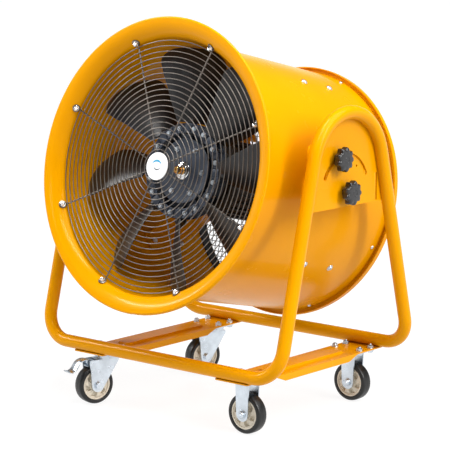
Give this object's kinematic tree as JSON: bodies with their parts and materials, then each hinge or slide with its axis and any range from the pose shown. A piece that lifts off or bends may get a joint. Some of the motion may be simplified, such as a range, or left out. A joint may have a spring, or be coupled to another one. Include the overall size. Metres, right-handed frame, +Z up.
{
  "type": "axial air mover",
  "caption": "Drum fan with a bell mouth, wire guards and a motor-driven axial impeller; it tilts in a tubular cradle on casters and feeds a duct collar.",
  "frame": {"origin": "on the floor under the centre of the cradle", "axes": "+Z up; the bell mouth faces -Y and points 12.4 degrees above level; +X is the side with the rigid casters"},
  "size_m": [0.7908, 0.6864, 0.9596],
  "materials": {
    "drum_paint": "gloss yellow-orange powder coat",
    "zinc_steel": "bright zinc plate",
    "wheel_core": "cream moulded plastic",
    "wheel_tyre": "satin black rubber",
    "guard_wire": "bright plated wire",
    "bright_plate": "polished plate",
    "badge_white": "gloss white",
    "black_wire": "satin black coat",
    "knob_black": "fine grained black plastic",
    "motor_casing": "painted dark grey casting",
    "stator_core": "varnished laminations",
    "shaft_steel": "ground steel",
    "arm_paint": "satin yellow-orange powder coat",
    "box_plastic": "matte dark grey plastic",
    "hub_metal": "dark blue-grey coated casting",
    "brass_bolt": "machined brass",
    "blade_black": "satin black moulded plastic"
  },
  "bodies": {
    "stand": {"side_frame_right": "drum_paint", "side_frame_left": "drum_paint", "crossbars": "drum_paint", "pivot_plate_right": "drum_paint", "pivot_plate_left": "drum_paint", "caster_rail_right": "drum_paint", "caster_rail_left": "drum_paint", "caster_bolts": "zinc_steel", "rigid_fork_front": "zinc_steel", "rigid_fork_rear": "zinc_steel", "rigid_axles": "zinc_steel", "swivel_plates": "zinc_steel"},
    "drum": {"drum_shell": "drum_paint", "front_guard": "guard_wire", "guard_badge": "badge_white", "guard_bolts": "bright_plate", "rear_guard": "black_wire", "rear_guard_screws": "zinc_steel", "trunnion_bracket_right": "drum_paint", "trunnion_bracket_left": "drum_paint", "trunnion_studs": "zinc_steel", "motor_housing": "motor_casing", "stator": "stator_core", "motor_cap_front": "motor_casing", "motor_cap_rear": "motor_casing", "motor_arms": "arm_paint", "motor_arm_bolts": "zinc_steel", "terminal_box": "box_plastic", "cable_gland": "box_plastic"},
    "impeller": {"motor_rotor": "shaft_steel", "impeller_hub": "hub_metal", "hub_clamp_ring": "hub_metal", "hub_bolts": "zinc_steel", "shaft_washer": "bright_plate", "shaft_bolt": "brass_bolt", "blade_1": "blade_black", "blade_2": "blade_black", "blade_3": "blade_black", "blade_4": "blade_black", "blade_5": "blade_black", "blade_6": "blade_black", "blade_7": "blade_black", "blade_8": "blade_black"},
    "knob_pivot_right": {"knob_pivot_right": "knob_black"},
    "knob_pivot_left": {"knob_pivot_left": "knob_black"},
    "knob_lock_right": {"knob_lock_right": "knob_black"},
    "knob_lock_left": {"knob_lock_left": "knob_black"},
    "swivel_front": {"swivel_fork_front": "zinc_steel", "swivel_axle_front": "zinc_steel"},
    "swivel_rear": {"swivel_fork_rear": "zinc_steel", "swivel_axle_rear": "zinc_steel"},
    "wheel_front_right": {"wheel_rim_front_right": "wheel_core", "tyre_front_right": "wheel_tyre"},
    "wheel_rear_right": {"wheel_rim_rear_right": "wheel_core", "tyre_rear_right": "wheel_tyre"},
    "wheel_front_left": {"wheel_rim_front_left": "wheel_core", "tyre_front_left": "wheel_tyre"},
    "wheel_rear_left": {"wheel_rim_rear_left": "wheel_core", "tyre_rear_left": "wheel_tyre"},
    "brake": {"brake_pedal": "zinc_steel"}
  },
  "joints": [
    {"name": "drum_tilt", "type": "hinge", "parent": "stand", "child": "drum", "pos_m": [0, 0, 0.557], "axis": [1, 0, 0], "range_deg": [-85, 41]},
    {"name": "impeller_spin", "type": "hinge", "parent": "drum", "child": "impeller", "pos_m": [0, 0, 0.557], "axis": [0, -0.9767, 0.2147], "continuous": true},
    {"name": "knob_pivot_right_turn", "type": "hinge", "parent": "drum", "child": "knob_pivot_right", "pos_m": [0.366, 0, 0.557], "axis": [1, 0, 0], "range_deg": [0, 720]},
    {"name": "knob_pivot_left_turn", "type": "hinge", "parent": "drum", "child": "knob_pivot_left", "pos_m": [-0.366, 0, 0.557], "axis": [-1, 0, 0], "range_deg": [0, 720]},
    {"name": "knob_lock_right_turn", "type": "hinge", "parent": "drum", "child": "knob_lock_right", "pos_m": [0.366, -0.03189, 0.63795], "axis": [1, 0, 0], "range_deg": [0, 720]},
    {"name": "knob_lock_left_turn", "type": "hinge", "parent": "drum", "child": "knob_lock_left", "pos_m": [-0.366, -0.03189, 0.63795], "axis": [-1, 0, 0], "range_deg": [0, 720]},
    {"name": "swivel_front_turn", "type": "hinge", "parent": "stand", "child": "swivel_front", "pos_m": [-0.218, -0.204, 0.115], "axis": [0, 0, 1], "continuous": true},
    {"name": "wheel_front_right_roll", "type": "hinge", "parent": "stand", "child": "wheel_front_right", "pos_m": [0.241, -0.204, 0.048], "axis": [0, -1, 0], "continuous": true},
    {"name": "wheel_front_left_roll", "type": "hinge", "parent": "swivel_front", "child": "wheel_front_left", "pos_m": [-0.2268, -0.23684, 0.048], "axis": [-0.9659, 0.2588, 0], "continuous": true},
    {"name": "swivel_rear_turn", "type": "hinge", "parent": "stand", "child": "swivel_rear", "pos_m": [-0.218, 0.204, 0.115], "axis": [0, 0, 1], "continuous": true},
    {"name": "wheel_rear_right_roll", "type": "hinge", "parent": "stand", "child": "wheel_rear_right", "pos_m": [0.241, 0.204, 0.048], "axis": [0, -1, 0], "continuous": true},
    {"name": "wheel_rear_left_roll", "type": "hinge", "parent": "swivel_rear", "child": "wheel_rear_left", "pos_m": [-0.2268, 0.17116, 0.048], "axis": [-0.9659, 0.2588, 0], "continuous": true},
    {"name": "brake_press", "type": "hinge", "parent": "swivel_front", "child": "brake", "pos_m": [-0.22939, -0.2465, 0.102], "axis": [0.9659, -0.2588, 0], "range_deg": [0, 12]}
  ]
}
